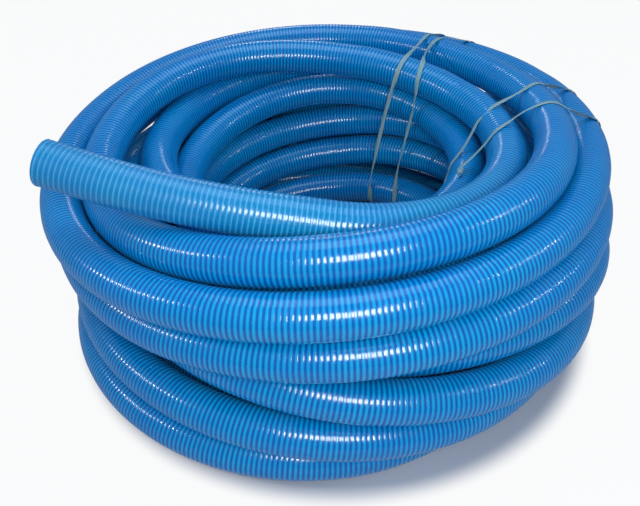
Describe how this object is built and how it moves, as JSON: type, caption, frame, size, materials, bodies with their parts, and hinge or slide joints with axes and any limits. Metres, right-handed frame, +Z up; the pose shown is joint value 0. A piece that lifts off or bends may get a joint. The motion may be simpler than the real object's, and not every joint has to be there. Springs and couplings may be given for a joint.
{
  "type": "coiled vacuum hose",
  "caption": "Spiral-reinforced suction and vacuum hose, wound into a round coil tied at one side with flat twine, one end lying free across the top.",
  "frame": {"origin": "the middle of the footprint of the part's box, on the surface that the coil lies on", "axes": "+Z up, the coil's axis; the free end lies across the front, which faces -Y, and its mouth points to -X and the back"},
  "size_m": [0.8858, 0.8889, 0.4347],
  "materials": {
    "hose_wall": "glossy soft PVC over a darker rigid helix",
    "hose_end_wall": "the same PVC, paler where light enters the open end",
    "twine": "grey-green flat polypropylene twine"
  },
  "bodies": {
    "root": {"hose_coil": "hose_wall", "hose_free_end": "hose_end_wall", "tie_1": "twine", "tie_2": "twine", "tie_3": "twine", "tie_4": "twine", "knot_1": "twine", "knot_2": "twine", "knot_3": "twine", "knot_4": "twine"}
  },
  "joints": []
}
